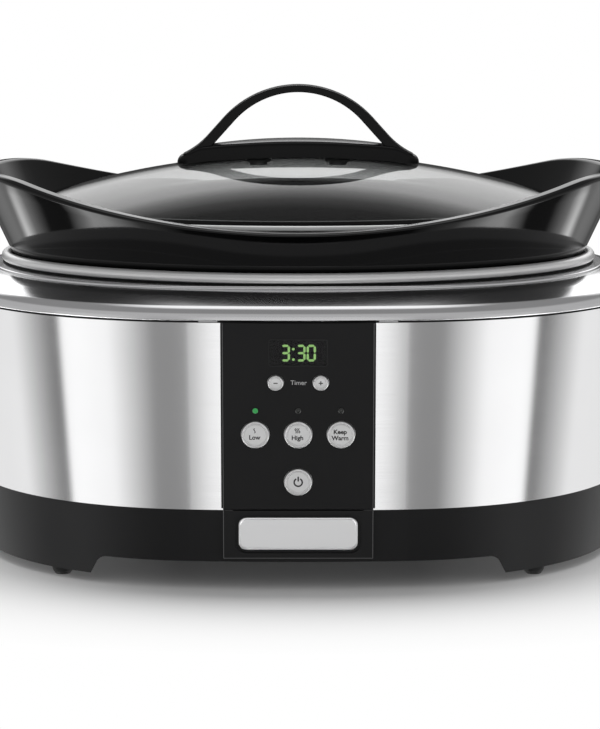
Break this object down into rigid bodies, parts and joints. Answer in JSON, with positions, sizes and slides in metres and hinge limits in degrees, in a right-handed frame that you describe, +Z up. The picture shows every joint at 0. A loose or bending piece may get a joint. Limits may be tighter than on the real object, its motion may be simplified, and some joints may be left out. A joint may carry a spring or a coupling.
{
  "type": "slow cooker",
  "caption": "Oval electric slow cooker with a steel side band, push-button control panel, lift-out stoneware crock with raised rim ends, and a domed glass lid with an arched handle.",
  "frame": {"origin": "on the table, under the middle of the cooker", "axes": "+X to the right along the long side, -Y towards the control panel, +Z up"},
  "size_m": [0.383, 0.2972, 0.2555],
  "materials": {
    "black_plastic": "fine satin black moulding",
    "rubber": "matt black rubber",
    "stainless_band": "bright satin stainless sheet",
    "chrome_shoulder": "polished stainless pressing",
    "satin_bead": "satin trim bead",
    "well_metal": "aluminised steel",
    "heater_sleeve": "woven glass-fibre sleeve",
    "fuse_can": "plain can",
    "zinc_steel": "zinc-plated steel",
    "panel_plastic": "satin black moulding",
    "display_tint": "dark tinted window",
    "display_module": "digit module",
    "lamp_lens": "small indicator lamp",
    "circuit_board": "green circuit board",
    "switch_plastic": "black moulding",
    "transformer_core": "varnished laminations",
    "silver_button": "silver lacquer",
    "badge_metal": "bare satin plate",
    "glazed_stoneware": "gloss black glaze",
    "lid_glass": "clear tempered glass",
    "handle_plastic": "gloss black moulding"
  },
  "bodies": {
    "base": {"base_pan": "black_plastic", "rubber_foot_front_left": "rubber", "rubber_foot_front_right": "rubber", "rubber_foot_back_left": "rubber", "rubber_foot_back_right": "rubber", "cord_gland": "rubber", "steel_band": "stainless_band", "shoulder_ring": "chrome_shoulder", "rim_bead": "satin_bead", "heating_well": "well_metal", "heater_band": "heater_sleeve", "thermal_fuse": "fuse_can", "tie_stud": "zinc_steel", "tie_nut": "zinc_steel", "board_screw_1": "zinc_steel", "board_screw_2": "zinc_steel", "board_screw_3": "zinc_steel", "board_screw_4": "zinc_steel", "control_panel": "panel_plastic", "display_window": "display_tint", "led_display": "display_module", "led_low": "lamp_lens", "led_high": "lamp_lens", "led_warm": "lamp_lens", "control_board": "circuit_board", "power_board": "circuit_board", "tact_switch_minus": "switch_plastic", "tact_switch_plus": "switch_plastic", "tact_switch_low": "switch_plastic", "tact_switch_high": "switch_plastic", "tact_switch_warm": "switch_plastic", "tact_switch_power": "switch_plastic", "relay": "switch_plastic", "transformer": "transformer_core", "badge_plate": "badge_metal"},
    "crock": {"stoneware_crock": "glazed_stoneware"},
    "lid": {"glass_lid": "lid_glass", "lid_handle": "handle_plastic", "handle_washer_left": "rubber", "handle_washer_right": "rubber", "handle_screw_left": "zinc_steel", "handle_screw_right": "zinc_steel"},
    "button_minus": {"button_minus": "silver_button"},
    "button_plus": {"button_plus": "silver_button"},
    "button_low": {"button_low": "silver_button"},
    "button_high": {"button_high": "silver_button"},
    "button_warm": {"button_warm": "silver_button"},
    "button_power": {"button_power": "silver_button"}
  },
  "joints": [
    {"name": "crock_lift", "type": "slide", "parent": "base", "child": "crock", "axis": [0, 0, 1], "range_m": [0, 0.14]},
    {"name": "lid_lift", "type": "slide", "parent": "crock", "child": "lid", "axis": [0, 0, 1], "range_m": [0, 0.06]},
    {"name": "press_minus", "type": "slide", "parent": "base", "child": "button_minus", "axis": [0, 0.9945, 0.1045], "range_m": [0, 0.0008], "stiffness_N_per_m": 1500},
    {"name": "press_plus", "type": "slide", "parent": "base", "child": "button_plus", "axis": [0, 0.9945, 0.1045], "range_m": [0, 0.0008], "stiffness_N_per_m": 1500},
    {"name": "press_low", "type": "slide", "parent": "base", "child": "button_low", "axis": [0, 0.9945, 0.1045], "range_m": [0, 0.0008], "stiffness_N_per_m": 1500},
    {"name": "press_high", "type": "slide", "parent": "base", "child": "button_high", "axis": [0, 0.9945, 0.1045], "range_m": [0, 0.0008], "stiffness_N_per_m": 1500},
    {"name": "press_warm", "type": "slide", "parent": "base", "child": "button_warm", "axis": [0, 0.9945, 0.1045], "range_m": [0, 0.0008], "stiffness_N_per_m": 1500},
    {"name": "press_power", "type": "slide", "parent": "base", "child": "button_power", "axis": [0, 0.9945, 0.1045], "range_m": [0, 0.0008], "stiffness_N_per_m": 1500}
  ]
}
